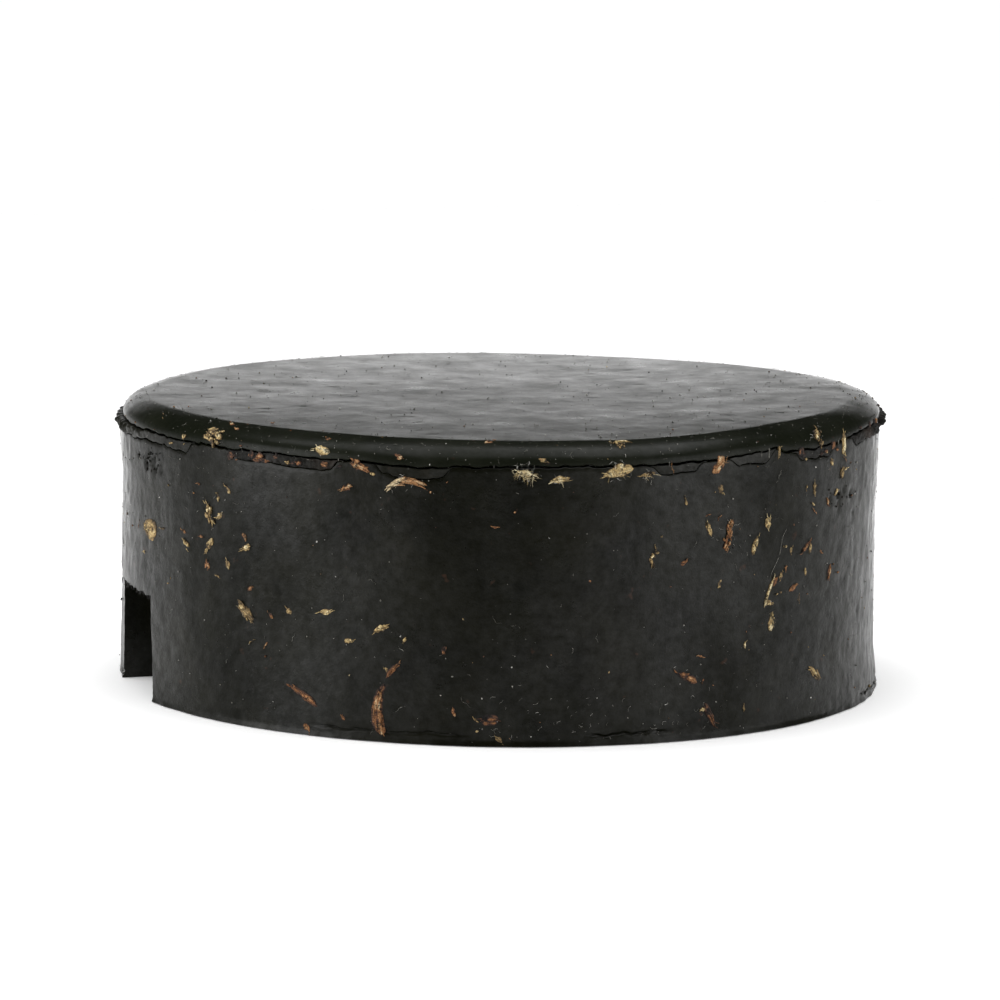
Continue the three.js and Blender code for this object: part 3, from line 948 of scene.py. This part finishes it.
def build_small_fragments():
    """Small bits of husk and cord: round the larger bits, along the seam and over the whole pad."""
    rng = np.random.default_rng(71)
    husks, cords = Bundle(rng), Bundle(rng)
    for bundle, around in ((husks, 50), (cords, 40)):
        for place in near_bits(rng, around, 2.3):
            spot = any_spot(rng, place, (0.35, 1.0), (0.3, 0.6), (0, 180))
            tones = rng.uniform(0.3, 0.75, 2)
            chip(bundle, spot, tones, rng.uniform(-0.6, 0.6), rows=11, columns=7)
            frayed_ends(bundle, spot, 2, tones, 0.25)
        seam = rng.uniform(-180, 180, 24)
        for bearing, height in zip(seam, crack_height(seam)):
            place = bearing, height + rng.uniform(-0.9, 0.6)
            spot = any_spot(rng, place, (0.25, 0.7), (0.4, 0.7), (-40, 40))
            chip(bundle, spot, rng.uniform(0.3, 0.75, 2), lift=0.04, rows=9, columns=5)
        for place in scatter(rng, 115, 0.5, DECK_REACH + 10):
            scale = 0.7 if place[1] > DECK_REACH else 1
            spot = any_spot(rng, place, (0.1, 0.3), (0.3, 0.7), (0, 180), scale)
            chip(bundle, spot, [rng.uniform(0.2, 0.7)] * 2, rng.uniform(-0.6, 0.6), rows=7, columns=5)
    for number in CRUMBLY:
        seam_grit(cords, number)
    edge_curl(husks)
    husks.piece("small_husks", HUSK_FIBRE, "husk_fibre")
    cords.piece("small_cords", CORD_FIBRE, "cord_fibre")


def seam_grit(bundle, number):
    """Dull brown crumbs on a strip of flash."""
    rng = bundle.rng
    seam = rng.uniform(*FLASH_SPANS[number], round(60 * CRUMBLY[number]))
    for bearing, height in zip(seam, crack_height(seam)):
        place = bearing, height - rng.uniform(0.15, 0.65)
        grit = any_spot(rng, place, (0.3, 0.95), (0.4, 0.8), (-30, 30))
        tones = rng.uniform(0.08, 0.32), rng.uniform(0.12, 0.4)
        chip(bundle, grit, tones, lift=0.06, rows=9, columns=7)


def edge_curl(bundle):
    """A curl of husk on the edge of the deck above the large lens, with a small tuft under it."""
    rng = bundle.rng
    lens = BITS["husk_seam_lens"].bearing
    curl = Spot((lens + 1.5, DECK_REACH - 0.55), 1.9, 0.26, 4, 0.4)
    chip(bundle, curl, (0.5, 0.78), lift=0.05, whole_leaf=True)
    for _ in range(9):
        size = rng.uniform(0.25, 0.6)
        place = lens + rng.normal(1, 0.7), DECK_REACH - rng.uniform(0.5, 1.5)
        spot = Spot(place, size, size * 0.4, rng.uniform(20, 140))
        chip(bundle, spot, (rng.uniform(0.3, 0.6), 0.5), lift=0.03, rows=9, columns=5)


# Bits that lint clings to: spread in mm, how many hairs, and their length
LINT_CLUMPS = {
    "husk_seam_tuft": (0.9, 22, 0.5), "husk_seam_sliver": (0.5, 8, 0.4), "husk_seam_lens": (1.0, 12, 0.4),
    "husk_seam_trail": (0.8, 10, 0.35), "cord_arch": (1.5, 8, 0.35), "cord_upright": (2.5, 8, 0.35),
    "husk_shoulder_right": (1.5, 8, 0.4), "husk_left_high": (2.0, 8, 0.3), "husk_rear_1": (1.5, 8, 0.4),
}


def hair(bundle, place, run, tilt, bend, radius, tone):
    """A fine hair that lies on the skin, a little kinked."""
    rng = bundle.rng
    t = np.linspace(-0.5, 0.5, 11)
    kink = 0.06 * run * np.sin(t * rng.uniform(6, 14) + rng.uniform(0, 6))
    out = 0.03 + radius + rng.uniform(0, 0.08) * (0.5 + t)
    path = Spot(place, run, 0, tilt).at(t * run, bend * run * (1 - 4 * t * t) + kink, out)
    bundle.add(*tube(path, radius * (1.15 - 1.2 * t * t), 4), tone=tone)


def any_hair(bundle, place, run, bend, radii, tones):
    """A hair at a random tilt, with a random bend, radius and tone."""
    rng = bundle.rng
    tilt, bend = rng.uniform(0, 360), rng.normal(0, bend)
    hair(bundle, place, run, tilt, bend, rng.uniform(*radii), rng.uniform(*tones))


def any_speck(bundle, place, least, more, power, brightest):
    """A white grain on the skin, whose radius and tone are left to chance."""
    rng = bundle.rng
    spot = Spot(place, 1, 1, rng.uniform(0, 360))
    t = np.linspace(-1, 1, 4)
    radius = least + more * rng.uniform(0, 1) ** power
    path = spot.at(t * radius, 0, 0.03)
    bundle.add(*tube(path, radius * np.sqrt(1.15 - t * t) * 0.8, 5), tone=rng.uniform(0, brightest))


def build_lint():
    """Fine hairs and white specks on the skin."""
    rng = np.random.default_rng(72)
    hairs, specks = Bundle(rng), Bundle(rng)
    shoulder_reaches = WALL_REACH - 0.5, DECK_REACH
    for place in scatter(rng, 260, 0.4, DECK_REACH + 28):
        any_hair(hairs, place, 0.2 + 1.1 * rng.uniform(0, 1) ** 3, 0.12, (0.006, 0.012), (0, 0.6))
    for node, (spread, count, run) in LINT_CLUMPS.items():
        for _ in range(count):
            place = BITS[node].place(*rng.normal(0, spread / 2, 2))
            any_hair(hairs, place, run * rng.uniform(0.4, 1.3), 0.2, (0.007, 0.013), (0.2, 0.9))
    for bearing in rng.uniform(BITS["cord_foot_middle"].bearing, BITS["cord_foot_right"].bearing, 56):
        place = bearing, 0.5 + abs(rng.normal(1.5, 2.0))
        any_hair(hairs, place, rng.uniform(0.15, 0.5), 0.3, (0.006, 0.011), (0.1, 0.9))
    straw = BITS["husk_straw"]
    hair(hairs, (straw.bearing + 2.2, straw.reach + 3), 4.2, np.degrees(straw.tilt), 0.08, 0.014, 0.5)
    for place in scatter(rng, 1500, 0.3, DECK_REACH + 28):
        any_speck(specks, place, 0.022, 0.06, 4, 0.9)
    for place in scatter(rng, 650, *shoulder_reaches):
        any_speck(specks, place, 0.018, 0.035, 2, 0.7)
    for place in scatter(rng, 170, *shoulder_reaches):
        any_hair(hairs, place, rng.uniform(0.15, 0.6), 0.2, (0.006, 0.011), (0, 0.6))
    hairs.piece("lint_hairs", LINT_FIBRE, "husk_fibre")
    specks.piece("white_specks", LINT_FIBRE, "husk_fibre")


def build_pit_crumbs():
    """Dark crumbs of rubber in the patches of pits."""
    rng = np.random.default_rng(74)
    crumbs = Bundle(rng)
    for node, (drop, count) in PIT_PATCHES.items():
        for _ in range(2 * count):
            place = BITS[node].bearing + rng.normal(0, 2.6), WALL_REACH - drop + rng.normal(0, 0.7)
            spot = any_spot(rng, place, (0.12, 0.34), (0.5, 0.9), (0, 180))
            skew, lift = rng.uniform(-0.6, 0.6), rng.uniform(-0.04, 0.0)
            chip(crumbs, spot, (0, 0), skew, lift=lift, rows=9, columns=7)
    crumbs.piece("pit_crumbs", TORN_RUBBER, "body_rubber")


def build_slot_burrs():
    """Slivers of rubber that hang from the torn edge of the slot's roof."""
    rng = np.random.default_rng(73)
    burrs = Bundle(rng)
    for side in (-1, 1):
        for _ in range(34):
            y = rng.uniform(-SLOT_ROOF, SLOT_ROOF)
            x = side * (np.sqrt((BASE_RADIUS - 0.1) ** 2 - y * y) + rng.uniform(-0.25, 0.08))
            t = np.linspace(0, 1, 6)
            drop = rng.uniform(0.12, 0.4)
            x, y = x + side * t * rng.uniform(-0.1, 0.15), y + t * rng.uniform(-0.2, 0.2)
            path = np.stack([x, y, SLOT_ROOF_HEIGHT + 0.12 - t * (drop + 0.12)], axis=-1)
            burrs.add(*tube(path, rng.uniform(0.05, 0.12) * (1 - 0.8 * t), 5))
    burrs.piece("slot_burrs", TORN_RUBBER, "body_rubber")


# ---- Floor, light and camera ----

FLOOR_SIZE = 0.8
FLOOR_GLOW = 0.14
# The card behind the pad: how far it is from the axis, its width and its height, in mm
CARD_DISTANCE = 62
CARD_WIDTH = 108
CARD_HEIGHT = 35
# The camera: how far it stands from the axis and how high, in pad radii, its turn in degrees and its lens
CAMERA_DISTANCE = 14.07
CAMERA_HEIGHT = 2.5975
CAMERA_PITCH = 8.61
CAMERA_ROLL = 0.85
LENS = 193.9


def build_floor():
    """A pale floor that glows a little, like a light table."""
    material, nodes, sockets = blank_material("floor_paint")
    tint = nodes.ramp(nodes.noise(nodes.place(), 60), [(0.3, 0.93), (0.7, 0.95)])
    nodes.link(tint, sockets["Base Color"])
    for name, value in (("Roughness", 0.9), ("Specular IOR Level", 0.1), ("Emission Color", (1, 1, 1, 1)),
                        ("Emission Strength", FLOOR_GLOW)):
        sockets[name].default_value = value
    bpy.ops.mesh.primitive_plane_add(size=FLOOR_SIZE, location=(0, 0, -0.00002))
    floor = bpy.context.object
    floor.name = "floor"
    floor.data.materials.append(material)


def build_world():
    """A pale band of light low down all round but the front, under a dark ceiling."""
    world = bpy.data.worlds.new("studio")
    bpy.context.scene.world = world
    world.use_nodes = True
    nodes = Nodes(world.node_tree)
    place = nodes.add("TexCoord").outputs["Generated"]
    front = nodes.add("VectorMath")
    front.operation = "DOT_PRODUCT"
    front.inputs[1].default_value = tuple(-BACK / 2)
    nodes.link(place, front.inputs[0])
    half = nodes.add("Math")
    half.inputs[1].default_value = 0.5
    nodes.link(front.outputs["Value"], half.inputs[0])
    sides = nodes.ramp(half.outputs["Value"], [
        (0.0, 0.17), (0.25, 0.2), (0.5, 0.85), (0.8, 1.0), (0.93, 0.08), (0.98, 0.015)])
    split = nodes.add("SeparateXYZ")
    nodes.link(place, split.inputs["Vector"])
    band = nodes.ramp(split.outputs["Z"], [(0.02, 1.0), (0.1, 0.25), (0.3, 0.04)])
    seen = nodes.add("LightPath").outputs["Is Camera Ray"]
    background = world.node_tree.nodes["Background"]
    nodes.link(nodes.mix(seen, nodes.product(sides, band), (0.46, 0.46, 0.46, 1)), background.inputs["Color"])
    background.inputs["Strength"].default_value = 2.2


def add_softbox(name, place, aim, width, height, radiance):
    data = bpy.data.lights.new(name, "AREA")
    data.shape = "RECTANGLE"
    data.size, data.size_y = width, height
    data.energy = radiance * np.pi * width * height
    lamp = bpy.data.objects.new(name, data)
    lamp.location = place
    lamp.visible_camera = False
    lamp.rotation_euler = (Vector(aim) - Vector(place)).to_track_quat("-Z", "Y").to_euler()
    bpy.context.scene.collection.objects.link(lamp)


def build_lights():
    """A large softbox overhead, a long one low on each side and a low pale card close behind the pad."""
    add_softbox("overhead_softbox", (0, 0, 1.6), (0, 0, 0), 1.8, 1.8, 3.5)
    for name, bearing, radiance in (("left_softbox", -66, 3.8), ("right_softbox", 62, 2.0)):
        away = Vector(polar(bearing, 200, 0)) * MM
        add_softbox(name, away + Vector((0, 0, 0.06)), (0, 0, 0.01), 0.18, 0.11, radiance)
    behind = Vector(polar(180, CARD_DISTANCE, CARD_HEIGHT / 2)) * MM
    aim = Vector((0, 0, behind.z))
    add_softbox("back_card", behind, aim, CARD_WIDTH * MM, CARD_HEIGHT * MM, 2.2)


def build_camera():
    data = bpy.data.cameras.new("camera")
    data.sensor_width = 36
    data.lens = LENS
    data.clip_start = 0.01
    camera = bpy.data.objects.new("camera", data)
    radius = BASE_RADIUS * MM
    pitch = np.radians(CAMERA_PITCH)
    away = Vector(-BACK)
    camera.location = away * CAMERA_DISTANCE * radius + Vector((0, 0, CAMERA_HEIGHT * radius))
    look = -away * np.cos(pitch) - Vector((0, 0, np.sin(pitch)))
    roll = Quaternion((0, 0, 1), np.radians(CAMERA_ROLL))
    camera.rotation_mode = "QUATERNION"
    camera.rotation_quaternion = look.to_track_quat("-Z", "Y") @ roll
    bpy.context.scene.collection.objects.link(camera)
    bpy.context.scene.camera = camera


build_camera()
build_floor()
build_world()
build_lights()
bpy.context.scene.view_settings.view_transform = "Standard"

build_block()
build_cap()
for number, flash in enumerate(FLASH_NODES, 1):
    build_flash(number, flash)
for number, cord in enumerate(CORD_NODES):
    build_bit(cord, 100 + number, CORD_FIBRE, "cord_fibre")
for number, husk in enumerate(HUSK_NODES):
    build_bit(husk, 200 + number, HUSK_FIBRE, "husk_fibre")
build_small_fragments()
build_lint()
build_pit_crumbs()
build_slot_burrs()
